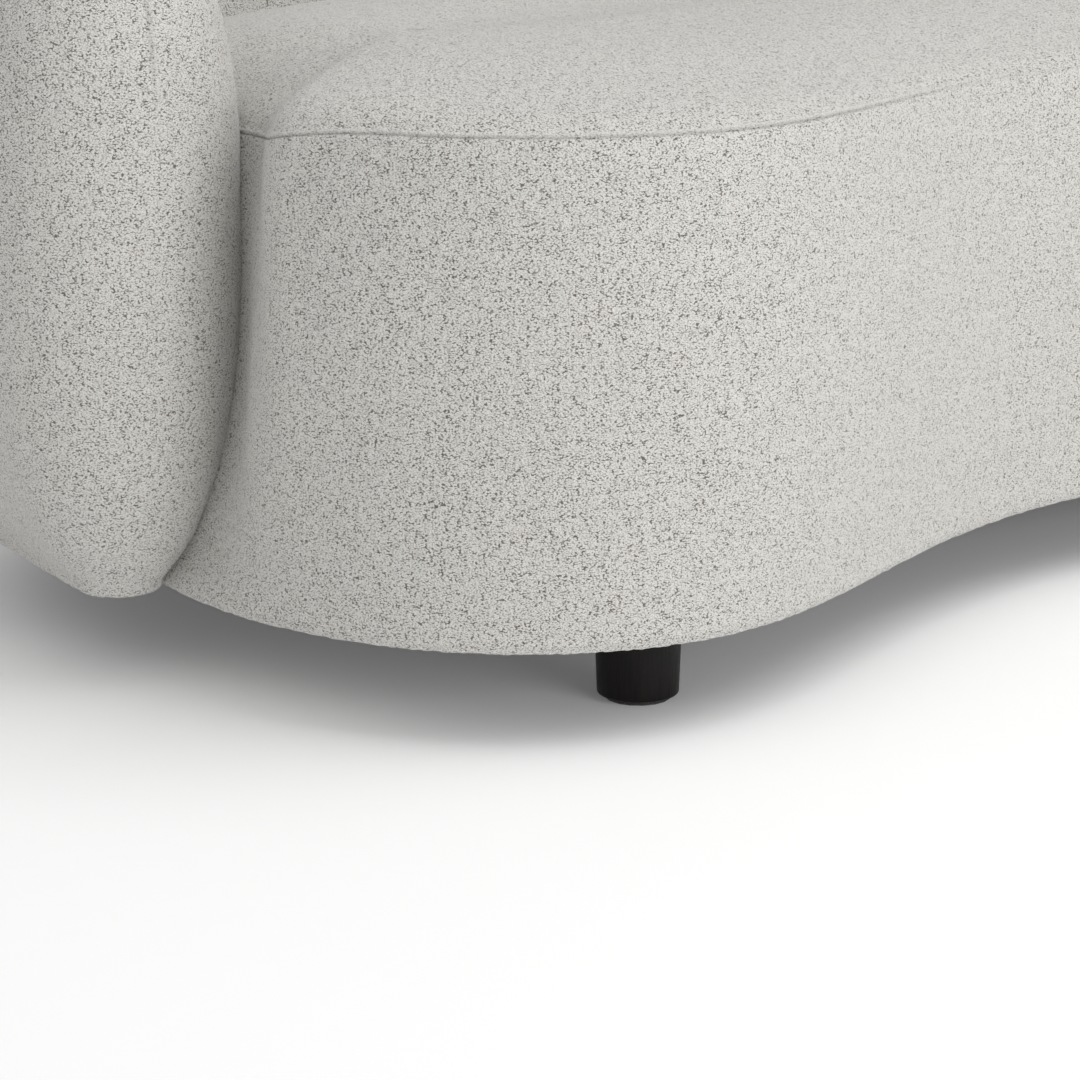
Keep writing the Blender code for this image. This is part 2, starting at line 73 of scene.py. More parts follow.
# Seat block
UNDERSIDE_Z = 0.0655
SEAM_Z = 0.41
SEAM_DROP = 0.020
SEAM_DROP_SPAN = (-0.47, -0.29)
SEAM_RISE_SPAN = (-0.24, 0.00)
SEAM_DROP_START_Z = 0.30
FACE_BULGE = 0.008
TUCK = 0.006

# Seat front: a shallow hollow in the middle, a lobe on each side, and a flank behind each arm
HOLLOW_Y = -0.344
HOLLOW_SWEEP = 1.75
LOBE_X = 0.79
LOBE_Y = -0.56
SHOULDER_WIDTH = 0.25
SHOULDER_Y = -0.25
SHOULDER_POWER = 2.1
FLANK_TUCK = 0.060
FLANK_TUCK_SPAN = (-0.41, -0.29)

# Crown of the seat: a quick shoulder past the seam, then a long soft rise to the spine
SHOULDER_RISE = 0.014
SHOULDER_REACH = 0.035
CROWN_RISE = 0.026
CROWN_POWER = 2.6
CROWN_END = 0.9
SPINE_SHARE = 0.80
WALL_PRESS = 0.002

# Fine fabric surfaces: grid spacing, loop height, and how far the padding may swell
FINE_STEP = 0.0026
SEAM_STEP = 0.0008
YARN_HEIGHT = 0.0007
PUFF_CAP = 0.007
PUFF_FRAMES = 20
HEM_ROWS = 7
FRONT_LENGTH = 1.55
CROWN_DEPTH = 0.30

# Coarse grids that swell as cloth: columns on the seat's front and side, rows on face and crown
COARSE_FRONT = 56
COARSE_SIDE = 40
COARSE_FACE = 14
COARSE_CROWN = 14

# Coarse and fine grids of the back: columns along the path and round an arm tip, rows
COARSE_PATH = 96
COARSE_TIP = 14
COARSE_LOWER = 9
COARSE_UPPER = 13
FINE_TIP = 111

# Sewn seam: where the lip and the ditch lie beside the stitch line, how wide and how high
LIP_PLACE = 0.0017
LIP_WIDTH = 0.0016
LIP_HEIGHT = 0.0010
DITCH_PLACE = -0.0006
DITCH_WIDTH = 0.0011
DITCH_DEPTH = 0.0018

# Legs: how much the foot narrows, the roundness of its edge, and the flat discs at both ends
LEG_TAPER = 0.002
LEG_EDGE = 0.0022
LEG_DISC = 0.012
LEG_COLUMNS = 96
LEG_NODES = [f"leg_{row}_{place}" for row in ("front", "rear") for place in ("left", "middle", "right")]


def smoothstep(value):
    """Cubic ease from 0 to 1, flat at both ends."""
    value = np.clip(value, 0.0, 1.0)
    return value * value * (3.0 - 2.0 * value)


def ease_between(value, span):
    """Ease from 0 at the start of a span to 1 at its end."""
    return smoothstep((value - span[0]) / (span[1] - span[0]))


def arc_length(line):
    """Running length along a polyline."""
    steps = np.linalg.norm(np.diff(line, axis=0), axis=1)
    return np.concatenate([[0.0], np.cumsum(steps)])


def at_lengths(line, places):
    """Points of a polyline at the given shares of its length."""
    run = arc_length(line)
    places = np.asarray(places) * run[-1]
    return np.stack([np.interp(places, run, line[:, k]) for k in range(line.shape[1])], axis=1)


def unit_normals(line):
    """Left-hand unit normals of a plan polyline."""
    along = np.gradient(line, axis=0)
    along /= np.linalg.norm(along, axis=1)[:, None]
    return np.stack([-along[:, 1], along[:, 0]], axis=1)


def wall_path(shares):
    """Centre line of the back with inward normals, read at shares of its length.

    Each arm runs straight back; between them lies half of |x/a|^n + |y/b|^n = 1.
    """
    angle = np.linspace(math.pi, 0.0, 4001)
    power = 2.0 / PATH_POWER
    bend_y = PATH_FRONT_Y + ARM_RUN
    x = PATH_HALF_WIDTH * np.sign(np.cos(angle)) * np.abs(np.cos(angle)) ** power
    y = bend_y + (PATH_REAR_Y - bend_y) * np.abs(np.sin(angle)) ** power
    arm = np.linspace((-PATH_HALF_WIDTH, PATH_FRONT_Y), (-PATH_HALF_WIDTH, bend_y), 120,
                      endpoint=False)
    mirrored = arm[::-1] * (-1.0, 1.0)
    line = at_lengths(np.concatenate([arm, np.stack([x, y], axis=1), mirrored]),
                      np.linspace(0.0, 1.0, 4001))
    inward = -unit_normals(line)
    for _ in range(200):
        inward[1:-1] = (inward[:-2] + 2.0 * inward[1:-1] + inward[2:]) * 0.25
    inward[0] = (1.0, 0.0)
    inward[-1] = (-1.0, 0.0)
    run = arc_length(line)
    places = np.asarray(shares) * run[-1]
    plan = np.stack([np.interp(places, run, line[:, k]) for k in (0, 1)], axis=1)
    inward = np.stack([np.interp(places, run, inward[:, k]) for k in (0, 1)], axis=1)
    return plan, inward / np.linalg.norm(inward, axis=1)[:, None]


def wall_rise(share):
    """0 on the low arms, 1 along the high back, by share of the path length."""
    return smoothstep((np.minimum(share, 1.0 - share) - 0.07) / 0.30)


def wall_top(share):
    """Height of the upholstered top edge."""
    return ARM_TOP + (BACK_TOP - ARM_TOP) * wall_rise(share)


def wall_thickness(share):
    """Half thickness at the widest level."""
    return ARM_HALF_THICKNESS + (BACK_HALF_THICKNESS - ARM_HALF_THICKNESS) * wall_rise(share)


def section(z, top):
    """Share of the full half thickness at height z: tucked foot, round belly, domed top.

    Below the widest level it is the fourth-power mean of a superellipse arc and an upright foot.
    """
    drop = np.clip((WIDEST_Z - z) / LOWER_RADIUS, 0.0, 1.0)
    arc = (1.0 - drop ** LOWER_POWER) ** (1.0 / LOWER_POWER)
    lower = (arc ** 4 + FOOT_RATIO ** 4) ** 0.25 / (1.0 + FOOT_RATIO ** 4) ** 0.25
    lift = np.clip((z - WIDEST_Z) / (top - WIDEST_Z), 0.0, 1.0)
    upper = (1.0 - lift ** UPPER_POWER) ** (1.0 / UPPER_POWER)
    return np.where(z < WIDEST_Z, lower, upper)


def wall_radius(share, z):
    """Half thickness of the padded wall at height z."""
    return wall_thickness(share) * section(z, wall_top(share))


def spread(spans):
    """Shares with several densities: a list of (start, stop, step) runs laid end to end."""
    runs = []
    for start, stop, step in spans:
        count = max(int(round((stop - start) / step)), 1)
        runs.append(np.linspace(start, stop, count, endpoint=False))
    runs.append([spans[-1][1]])
    return np.concatenate(runs)


def wall_grid(shares, tip_count, lower, upper):
    """Points of the back as (rows, columns, 3), with each column's place round the outline.

    Each row is the path's outline offset by that level's half thickness: outer side, right arm tip,
    inner side, left arm tip. Rows run from the middle of the underside, out and up to the ridge.
    lower holds heights from the foot to the widest level; upper holds turns from 0 to a quarter.
    """
    line, inward = wall_path(shares)
    turn = np.linspace(0.0, math.pi, tip_count + 2)[1:-1]
    tip = np.stack([np.cos(turn), -np.sin(turn)], axis=1)
    count = len(shares)
    base = np.concatenate([line, np.repeat(line[-1:], tip_count, 0), line[::-1],
                           np.repeat(line[:1], tip_count, 0)])
    left_tip = (tip * (-1.0, 1.0))[::-1]
    reach = np.concatenate([-inward, tip, inward[::-1], left_tip])
    along = np.concatenate([shares, np.ones(tip_count), shares[::-1], np.zeros(tip_count)])
    ring_turn = np.concatenate([np.zeros(count), turn, np.full(count, math.pi), turn + math.pi])
    rows = []
    foot = wall_radius(along, np.full(len(along), lower[0]))
    for share in (0.0, 0.5):
        radius = (foot - TUCK) * share
        rows.append((radius, np.full(len(along), UNDERSIDE_Z)))
    for bend in np.linspace(0.0, math.pi / 2.0, 6)[:-1]:
        radius = foot - TUCK + TUCK * math.sin(bend)
        rows.append((radius, UNDERSIDE_Z + TUCK * (1.0 - math.cos(bend)) + np.zeros(len(along))))
    for z in lower:
        if z > UNDERSIDE_Z + TUCK:
            rows.append((wall_radius(along, np.full(len(along), z)), np.full(len(along), z)))
    power = 2.0 / UPPER_POWER
    rise = wall_top(along) - WIDEST_Z
    for bend in upper[1:]:
        radius = wall_thickness(along) * max(math.cos(bend), 0.0) ** power
        if bend > math.pi / 2.0 - 1e-6:
            radius = radius * 0.0
        rows.append((radius, WIDEST_Z + rise * math.sin(bend) ** power))
    points = np.stack([np.column_stack([base + reach * radius[:, None], height])
                       for radius, height in rows])
    return points, ring_turn


def front_line(z):
    """Right half of the seat front at level z, from the middle to behind the arm.

    Out to the lobe, y falls with the square of the sine of (x / LOBE_X) ** HOLLOW_SWEEP. The
    shoulder is a quarter of a superellipse. The flank tucks in where the arm's belly swells.
    """
    x = np.linspace(0.0, LOBE_X, 900, endpoint=False)
    fall = np.sin(math.pi / 2.0 * (x / LOBE_X) ** HOLLOW_SWEEP) ** 2
    hollow = np.stack([x, HOLLOW_Y + (LOBE_Y - HOLLOW_Y) * fall], axis=1)
    turn = np.linspace(0.0, math.pi / 2.0, 700)
    power = 2.0 / SHOULDER_POWER
    shoulder = np.stack([LOBE_X + SHOULDER_WIDTH * np.sin(turn) ** power,
                         SHOULDER_Y + (LOBE_Y - SHOULDER_Y) * np.abs(np.cos(turn)) ** power], axis=1)
    flank_end = [(LOBE_X + SHOULDER_WIDTH, PATH_FRONT_Y)]
    line = at_lengths(np.concatenate([hollow, shoulder, flank_end]), np.linspace(0.0, 1.0, 1400))
    swell = (section(np.array(z), ARM_TOP) - FOOT_RATIO) / (1.0 - FOOT_RATIO)
    reach = ease_between(line[:, 1], FLANK_TUCK_SPAN)
    line[:, 0] -= np.where(line[:, 0] > LOBE_X, FLANK_TUCK * swell * reach, 0.0)
    return line


def seam_drop(z, plan):
    """How far the seat's top edge sinks beside the arm tips; it fades down the face and behind."""
    down = ease_between(z, (SEAM_DROP_START_Z, SEAM_Z))
    sink = ease_between(plan[:, 1], SEAM_DROP_SPAN) - ease_between(plan[:, 1], SEAM_RISE_SPAN)
    return SEAM_DROP * down * np.where(np.abs(plan[:, 0]) > LOBE_X, sink, 0.0)


def seat_outline(z, inset, front_shares, side_shares):
    """Closed plan outline at level z: the front curve out to the arm, then along the wall.

    The side follows the wall's own offset curve, pressed a little into it, so no gap opens.
    """
    front = front_line(z)
    front = front + unit_normals(front) * inset
    shares = np.linspace(0.5, 1.0, 500)
    line, inward = wall_path(shares)
    reach = wall_radius(shares, np.full(500, z)) - WALL_PRESS + max(inset, 0.0)
    inner = (line + inward * reach[:, None])[::-1]
    turn = np.linspace(math.pi / 2.0, math.pi, 120)
    tip = np.stack([np.cos(turn), -np.sin(turn)], axis=1)
    side = np.concatenate([(line[-1] + reach[-1] * tip)[:-1], inner])
    gaps = np.linalg.norm(front[:, None, :] - side[None, :, :], axis=2)
    row, column = np.unravel_index(np.argmin(gaps), gaps.shape)
    front = at_lengths(np.concatenate([front[:row], side[column:column + 1]]), front_shares)
    side = at_lengths(side[column:], side_shares)
    right = np.concatenate([front, side[1:]])
    left = right[1:-1][::-1] * np.array((-1.0, 1.0))
    return np.concatenate([right, left])


def face_bulge(z):
    """Outward swell of the seat's front face, none at its edges."""
    share = (z - UNDERSIDE_Z) / (SEAM_Z - UNDERSIDE_Z)
    return FACE_BULGE * math.sin(math.pi * min(max(share, 0.0), 1.0)) ** 0.5


def seat_grid(front_shares, side_shares, face_heights, top_steps):
    """Points of the seat block as (rows, columns, 3): underside, face, then crown.

    top_steps are shares s of the way from the seam inward; the crown rises as 1 - (1 - s)^2.6.
    """
    rows = []
    for inset in (0.06, 0.02):
        rows.append((UNDERSIDE_Z + 0.002, inset, UNDERSIDE_Z))
    for bend in np.linspace(0.0, math.pi / 2.0, 6)[:-1]:
        height = UNDERSIDE_Z + TUCK * (1.0 - math.cos(bend))
        rows.append((height, TUCK * (1.0 - math.sin(bend)), height))
    for z in face_heights:
        rows.append((z, -face_bulge(z), z))
    grid = []
    for z, inset, height in rows:
        plan = seat_outline(z, inset, front_shares, side_shares)
        grid.append(np.column_stack([plan, height - seam_drop(z, plan)]))
    edge = seat_outline(SEAM_Z, 0.0, front_shares, side_shares)
    spine = seat_spine(edge)
    drop = seam_drop(SEAM_Z, edge)
    for share in top_steps:
        plan = edge + (spine - edge) * share
        shoulder = SHOULDER_RISE * (1.0 - math.exp(-share / SHOULDER_REACH))
        crown = CROWN_RISE * (1.0 - (1.0 - share) ** CROWN_POWER)
        height = SEAM_Z + shoulder + crown - drop * (1.0 - share) ** 2
        grid.append(np.column_stack([plan, height]))
    return np.stack(grid)


def seat_spine(edge):
    """The seat's long middle line: each edge point's partner at mid depth, drawn in at the ends."""
    x = edge[:, 0] * SPINE_SHARE
    line = front_line(UNDERSIDE_Z)
    front = np.interp(np.abs(x), line[:, 0], line[:, 1])
    shares = np.linspace(0.5, 1.0, 400)
    line, inward = wall_path(shares)
    inner = line + inward * BACK_HALF_THICKNESS
    back = np.interp(np.abs(x), inner[:, 0], inner[:, 1])
    return np.column_stack([x, (front + back) * 0.5])


def lattice_noise(points, size, seed):
    """Smooth random field from -1 to 1: random values on a repeating lattice, eased between them."""
    side = 48
    table = np.random.default_rng(seed).uniform(-1.0, 1.0, (side, side, side))
    place = points / size
    cell = np.floor(place).astype(int)
    part = smoothstep(place - cell)
    total = np.zeros(points.shape[:-1])
    for corner in np.ndindex(2, 2, 2):
        weight = np.prod(np.where(corner, part, 1.0 - part), axis=-1)
        index = (cell + corner) % side
        total += weight * table[index[..., 0], index[..., 1], index[..., 2]]
    return total


def grid_normals(points):
    """Unit normals of a grid closed round its columns, from the cross of its two directions."""
    around = np.roll(points, -1, axis=1) - np.roll(points, 1, axis=1)
    up = np.gradient(points, axis=0)
    normal = np.cross(around, up)
    return normal / np.maximum(np.linalg.norm(normal, axis=2, keepdims=True), 1e-12)


def grid_mesh(name, points, cap_ends=False, marks=None):
    """A mesh from a grid closed round its columns; collapsed rows merge, end rings can be filled.

    marks holds named values to store at the points, for the materials to read.
    """
    rows, columns = points.shape[:2]
    index = np.arange(rows * columns).reshape(rows, columns)
    nxt = np.roll(index, -1, axis=1)
    quads = np.stack([index[:-1], nxt[:-1], nxt[1:], index[1:]], axis=-1).reshape(-1, 4)
    mesh = bpy.data.meshes.new(name)
    mesh.vertices.add(rows * columns)
    mesh.vertices.foreach_set("co", points.reshape(-1))
    mesh.loops.add(quads.size)
    mesh.loops.foreach_set("vertex_index", quads.reshape(-1).astype(np.int32))
    mesh.polygons.add(len(quads))
    mesh.polygons.foreach_set("loop_start", np.arange(0, quads.size, 4, dtype=np.int32))
    mesh.update(calc_edges=True)
    for mark, values in (marks or {}).items():
        layer = mesh.attributes.new(mark, "FLOAT", "POINT")
        layer.data.foreach_set("value", values.reshape(-1).astype(np.float32))
    build = bmesh.new()
    build.from_mesh(mesh)
    build.verts.ensure_lookup_table()
    if cap_ends:
        for row in (0, rows - 1):
            build.faces.new([build.verts[k] for k in index[row]])
    ends = [build.verts[k] for row in (0, rows - 1) for k in index[row]]
    bmesh.ops.remove_doubles(build, verts=ends, dist=1e-6)
    big = [face for face in build.faces if len(face.verts) > 4]
    bmesh.ops.triangulate(build, faces=big)
    bmesh.ops.recalc_face_normals(build, faces=build.faces)
    if build.calc_volume(signed=True) < 0.0:
        bmesh.ops.reverse_faces(build, faces=build.faces)
    build.to_mesh(mesh)
    build.free()
    mesh.shade_smooth()
    return mesh


def add_piece(name, mesh, material):
    """Put a finished mesh in the scene, riding on the sofa."""
    item = bpy.data.objects.new(name, mesh)
    bpy.context.scene.collection.objects.link(item)
    mesh.materials.clear()
    mesh.materials.append(material)
    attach(item, "root")
    return item


def cloth_puff(points, held_rows):
    """How far pressure swells a coarse padded grid: run as cloth, held along its seams and hems."""
    rows, columns = points.shape[:2]
    index = np.arange(rows * columns).reshape(rows, columns)
    nxt = np.roll(index, -1, axis=1)
    quads = np.stack([index[:-1], nxt[:-1], nxt[1:], index[1:]], axis=-1).reshape(-1, 4)
    mesh = bpy.data.meshes.new("puff_trial")
    mesh.from_pydata(points.reshape(-1, 3).tolist(), [], quads.tolist())
    trial = bpy.data.objects.new("puff_trial", mesh)
    bpy.context.scene.collection.objects.link(trial)
    held = trial.vertex_groups.new(name="held")
    held.add(index[held_rows].reshape(-1).tolist(), 1.0, "REPLACE")
    cloth = trial.modifiers.new("cloth", "CLOTH")
    settings = cloth.settings
    settings.quality = 6
    settings.mass = 0.4
    settings.use_pressure = True
    settings.uniform_pressure_force = 4.0
    settings.tension_stiffness = 25.0
    settings.compression_stiffness = 25.0
    settings.bending_stiffness = 4.0
    settings.vertex_group_mass = "held"
    settings.effector_weights.gravity = 0.0
    scene = bpy.context.scene
    cloth.point_cache.frame_start = 1
    cloth.point_cache.frame_end = PUFF_FRAMES
    for number in range(1, PUFF_FRAMES + 1):
        scene.frame_set(number)
    swelled = trial.evaluated_get(bpy.context.evaluated_depsgraph_get()).data
    after = np.empty(rows * columns * 3)
    swelled.vertices.foreach_get("co", after)
    scene.frame_set(1)
    move = after.reshape(points.shape) - points
    bpy.data.objects.remove(trial)
    length = np.linalg.norm(move, axis=2, keepdims=True)
    return move * np.minimum(1.0, PUFF_CAP / np.maximum(length, 1e-9))


def cubic_weights(places, count, wraps):
    """Matrix that reads a row of count samples at fractional places with a smooth cubic kernel."""
    matrix = np.zeros((len(places), count))
    base = np.floor(places).astype(int)
    part = places - base
    kernel = ((1 - part) ** 3 / 6, (3 * part ** 3 - 6 * part ** 2 + 4) / 6,
              (-3 * part ** 3 + 3 * part ** 2 + 3 * part + 1) / 6, part ** 3 / 6)
    for offset, weight in zip((-1, 0, 1, 2), kernel):
        column = base + offset
        column = column % count if wraps else np.clip(column, 0, count - 1)
        np.add.at(matrix, (np.arange(len(places)), column), weight)
    return matrix


def read_field(field, row_places, column_places):
    """A coarse grid of vectors read at finer places by cubic blending in both directions."""
    rows = cubic_weights(row_places, field.shape[0], False)
    columns = cubic_weights(column_places, field.shape[1], True)
    return np.einsum("ri,ijk,cj->rck", rows, field, columns, optimize=True)


class Shader:
    """A small helper that lays out one procedural material on object coordinates."""

    def __init__(self, name):
        self.material = bpy.data.materials.new(name)
        self.material.use_nodes = True
        self.tree = self.material.node_tree
        self.out = self.tree.nodes["Principled BSDF"]
        self.place = self.node("ShaderNodeTexCoord").outputs["Object"]

    def node(self, kind, **settings):
        made = self.tree.nodes.new(kind)
        for key, value in settings.items():
            setattr(made, key, value)
        return made

    def link(self, source, target):
        self.tree.links.new(source, target)

    def set(self, **values):
        for key, value in values.items():
            socket = self.out.inputs[key.replace("_", " ")]
            socket.default_value = (*value, 1.0) if isinstance(value, tuple) else value

    def mapped(self, scale, source=None):
        made = self.node("ShaderNodeMapping")
        made.inputs["Scale"].default_value = scale
        self.link(source or self.place, made.inputs["Vector"])
        return made.outputs["Vector"]

    def noise(self, vector, scale, detail=2.0, rough=0.5, output="Fac"):
        made = self.node("ShaderNodeTexNoise")
        made.inputs["Scale"].default_value = scale
        made.inputs["Detail"].default_value = detail
        made.inputs["Roughness"].default_value = rough
        self.link(vector, made.inputs["Vector"])
        return made.outputs[output]

    def voronoi(self, vector, scale, feature="F1", random=1.0):
        made = self.node("ShaderNodeTexVoronoi", feature=feature)
        made.inputs["Scale"].default_value = scale
        made.inputs["Randomness"].default_value = random
        self.link(vector, made.inputs["Vector"])
        return made.outputs["Distance"]

    def ramp(self, value, low, high, start=0.0, stop=1.0):
        made = self.node("ShaderNodeMapRange", interpolation_type="SMOOTHSTEP")
        made.inputs["From Min"].default_value = low
        made.inputs["From Max"].default_value = high
        made.inputs["To Min"].default_value = start
        made.inputs["To Max"].default_value = stop
        self.link(value, made.inputs["Value"])
        return made.outputs["Result"]

    def math(self, kind, a, b=None):
        made = self.node("ShaderNodeMath", operation=kind)
        for socket, value in zip(made.inputs, (a, b)):
            if value is None:
                continue
            if isinstance(value, (int, float)):
                socket.default_value = value
            else:
                self.link(value, socket)
        return made.outputs[0]

    def mix(self, share, first, second, blend="MIX"):
        made = self.node("ShaderNodeMix", data_type="RGBA", blend_type=blend)
        sockets = (made.inputs[0], made.inputs[6], made.inputs[7])
        for socket, value in zip(sockets, (share, first, second)):
            if isinstance(value, tuple):
                socket.default_value = (*value, 1.0)
            elif isinstance(value, (int, float)):
                socket.default_value = value
            else:
                self.link(value, socket)
        return made.outputs[2]

    def shift(self, vector, source, amount):
        """Move coordinates by a coloured noise, for wandering lines."""
        centred = self.node("ShaderNodeVectorMath", operation="SUBTRACT")
        centred.inputs[1].default_value = (0.5, 0.5, 0.5)
        self.link(source, centred.inputs[0])
        scaled = self.node("ShaderNodeVectorMath", operation="SCALE")
        scaled.inputs["Scale"].default_value = amount
        self.link(centred.outputs[0], scaled.inputs[0])
        added = self.node("ShaderNodeVectorMath", operation="ADD")
        self.link(vector, added.inputs[0])
        self.link(scaled.outputs[0], added.inputs[1])
        return added.outputs[0]

    def color(self, socket):
        self.link(socket, self.out.inputs["Base Color"])

    def rough(self, socket):
        self.link(socket, self.out.inputs["Roughness"])

    def bump(self, height, distance, strength=1.0):
        made = self.node("ShaderNodeBump")
        made.inputs["Distance"].default_value = distance
        made.inputs["Strength"].default_value = strength
        self.link(height, made.inputs["Height"])
        self.link(made.outputs["Normal"], self.out.inputs["Normal"])


def looped_fabric():
    """Off-white looped yarn: pale round loops, short dark dashes where they part, soft tints, painted
    shade in seam ditches and a painted highlight on seam lips.
    """
    s = Shader("off_white_looped_fabric")
    warp = s.noise(s.place, 700.0, 1.0, output="Color")
    wander = s.shift(s.mapped((1.0, 1.0, 1.6)), warp, 0.0011)
    loop = s.voronoi(wander, 640.0, random=0.9)
    gaps = s.ramp(loop, 0.46, 0.76)
    clumps = s.ramp(s.noise(s.place, 260.0, 1.0), 0.36, 0.60, 0.5, 1.0)
    strand = s.noise(s.mapped((1.0, 1.0, 1.5)), 1200.0, 1.0)
    dark = s.math("MULTIPLY", gaps, clumps)
    # Painted highlight: the seam's lip has its dark flecks thinned, so the raised ridge reads paler as
    # if it caught the light
    ridge = s.node("ShaderNodeAttribute", attribute_name="seam_lip_painted_highlight").outputs["Fac"]
    dark = s.math("MULTIPLY", dark, s.ramp(ridge, 0.2, 0.9, 1.0, 0.45))
    patches = s.noise(s.place, 24.0, 2.0)
    yarn = s.mix(s.ramp(patches, 0.40, 0.60), (0.620, 0.604, 0.565), (0.598, 0.594, 0.560))
    rosy = s.ramp(s.noise(s.place, 60.0, 2.0), 0.58, 0.72, 0.0, 0.45)
    yarn = s.mix(rosy, yarn, (0.615, 0.568, 0.525))
    yarn = s.mix(s.ramp(strand, 0.36, 0.64), yarn, (0.780, 0.768, 0.738))
    shaded = s.mix(dark, yarn, (0.150, 0.135, 0.118))
    # Painted shade: the seam's ditch is coloured darker, standing in for the shade in the groove beside
    # the real ditch in the mesh
    seam = s.node("ShaderNodeAttribute", attribute_name="seam_ditch_painted_shade").outputs["Fac"]
    painted_ditch_shade = s.math("MULTIPLY", seam, s.ramp(strand, 0.38, 0.58, 0.35, 1.0))
    s.color(s.mix(painted_ditch_shade, shaded, (0.20, 0.185, 0.16)))
    height = s.math("SUBTRACT", s.math("MULTIPLY", strand, 0.7), loop)
    s.bump(height, 0.0011, 0.75)
    s.set(Roughness=0.92, Specular_IOR_Level=0.18, Sheen_Weight=0.9, Sheen_Roughness=0.35,
          Sheen_Tint=(1.0, 0.985, 0.96))
    return s.material


def stained_wood():
    """Near-black stained hardwood: fine upright grain under a thin satin lacquer."""
    s = Shader("black_brown_stained_wood")
    warp = s.noise(s.place, 18.0, 2.0, output="Color")
    grain = s.noise(s.shift(s.mapped((1.0, 1.0, 0.06)), warp, 0.004), 420.0, 4.0, 0.6)
    pores = s.ramp(s.noise(s.mapped((1.0, 1.0, 0.03)), 900.0, 1.0), 0.56, 0.68)
    tone = s.mix(s.ramp(grain, 0.35, 0.70), (0.0024, 0.0016, 0.0015), (0.0080, 0.0052, 0.0044))
    s.color(s.mix(pores, tone, (0.0030, 0.0024, 0.0024)))
    s.rough(s.ramp(grain, 0.3, 0.7, 0.40, 0.52))
    s.bump(s.math("SUBTRACT", grain, s.math("MULTIPLY", pores, 0.6)), 0.00018, 0.6)
    s.set(Specular_IOR_Level=0.22)
    return s.material


def layered_plywood():
    """Birch plywood: thin alternating plies seen at the edges, long face grain."""
    s = Shader("birch_plywood")
    plies = s.node("ShaderNodeTexWave", wave_type="BANDS", bands_direction="Z")
    plies.inputs["Scale"].default_value = 105.0
    plies.inputs["Distortion"].default_value = 0.3
    s.link(s.place, plies.inputs["Vector"])
    grain = s.noise(s.mapped((0.08, 1.0, 1.0)), 160.0, 4.0, 0.6)
    tone = s.mix(s.ramp(grain, 0.35, 0.65), (0.52, 0.36, 0.20), (0.66, 0.50, 0.31))
    s.color(s.mix(s.ramp(plies.outputs["Fac"], 0.35, 0.65, 0.0, 0.30), tone, (0.36, 0.23, 0.12)))
    s.bump(grain, 0.0004, 0.5)
    s.set(Roughness=0.68)
    return s.material


def sawn_pine():
    """Sawn pine posts: broad growth rings and a few darker streaks along the length."""
    s = Shader("sawn_pine")
    rings = s.noise(s.mapped((1.0, 1.0, 0.05)), 75.0, 3.0, 0.55)
    saw = s.noise(s.mapped((0.3, 0.3, 1.0)), 500.0, 1.0)
    tone = s.mix(s.ramp(rings, 0.38, 0.62), (0.68, 0.50, 0.29), (0.50, 0.31, 0.15))
    s.color(s.mix(s.ramp(saw, 0.5, 0.8, 0.0, 0.25), tone, (0.74, 0.58, 0.38)))
    s.bump(s.math("ADD", rings, s.math("MULTIPLY", saw, 0.4)), 0.0005, 0.6)
    s.set(Roughness=0.78)
    return s.material


def open_cell_foam():
    """Upholstery foam: fine open pores and a slight yellowing in patches."""
    s = Shader("open_cell_foam")
    pores = s.voronoi(s.place, 520.0)
    age = s.noise(s.place, 6.0, 2.0)
    tone = s.mix(s.ramp(age, 0.35, 0.65), (0.80, 0.76, 0.60), (0.76, 0.66, 0.44))
    s.color(s.mix(s.ramp(pores, 0.25, 0.05, 0.0, 0.5), tone, (0.40, 0.34, 0.20)))
    s.bump(pores, 0.0008, 0.7)
    s.set(Roughness=0.95)
    return s.material


def black_cambric():
    """Thin black bonded cloth under the sofa: a fine pressed diamond pattern and stray fibres."""
    s = Shader("black_cambric")
    dots = s.voronoi(s.place, 420.0, random=0.0)
    fibres = s.noise(s.mapped((1.0, 0.12, 1.0)), 600.0, 3.0)
    tone = s.mix(s.ramp(dots, 0.20, 0.45), (0.012, 0.012, 0.013), (0.028, 0.028, 0.030))
    s.color(s.mix(s.ramp(fibres, 0.55, 0.75, 0.0, 0.5), tone, (0.055, 0.055, 0.057)))
    s.bump(s.math("ADD", dots, fibres), 0.0004, 0.6)
    s.set(Roughness=0.9, Sheen_Weight=0.2)
    return s.material


def woven_webbing():
    """Elastic seat webbing: crossed ribs with paler stretch lines along the strap."""
    s = Shader("woven_webbing")
    warp_lines = s.node("ShaderNodeTexWave", wave_type="BANDS", bands_direction="X")
    warp_lines.inputs["Scale"].default_value = 130.0
    weft_lines = s.node("ShaderNodeTexWave", wave_type="BANDS", bands_direction="Y")
    weft_lines.inputs["Scale"].default_value = 190.0
    s.link(s.place, warp_lines.inputs["Vector"])
    s.link(s.place, weft_lines.inputs["Vector"])
    weave = s.math("MULTIPLY", warp_lines.outputs["Fac"], weft_lines.outputs["Fac"])
    s.color(s.mix(s.ramp(weave, 0.1, 0.8), (0.035, 0.035, 0.038), (0.16, 0.155, 0.15)))
    s.bump(weave, 0.0006, 0.8)
    s.set(Roughness=0.85)
    return s.material


def plated_steel():
    """Zinc-plated bolts and nuts: bright, slightly uneven plating with fine turning marks."""
    s = Shader("zinc_plated_steel")
    cloud = s.noise(s.place, 160.0, 3.0)
    marks = s.noise(s.mapped((0.05, 0.05, 1.0)), 2200.0, 1.0)
    s.color(s.mix(s.ramp(cloud, 0.35, 0.65), (0.58, 0.58, 0.56), (0.72, 0.71, 0.66)))
    s.rough(s.ramp(cloud, 0.3, 0.7, 0.26, 0.44))
    s.bump(marks, 0.0001, 0.5)
    s.set(Metallic=1.0)
    return s.material


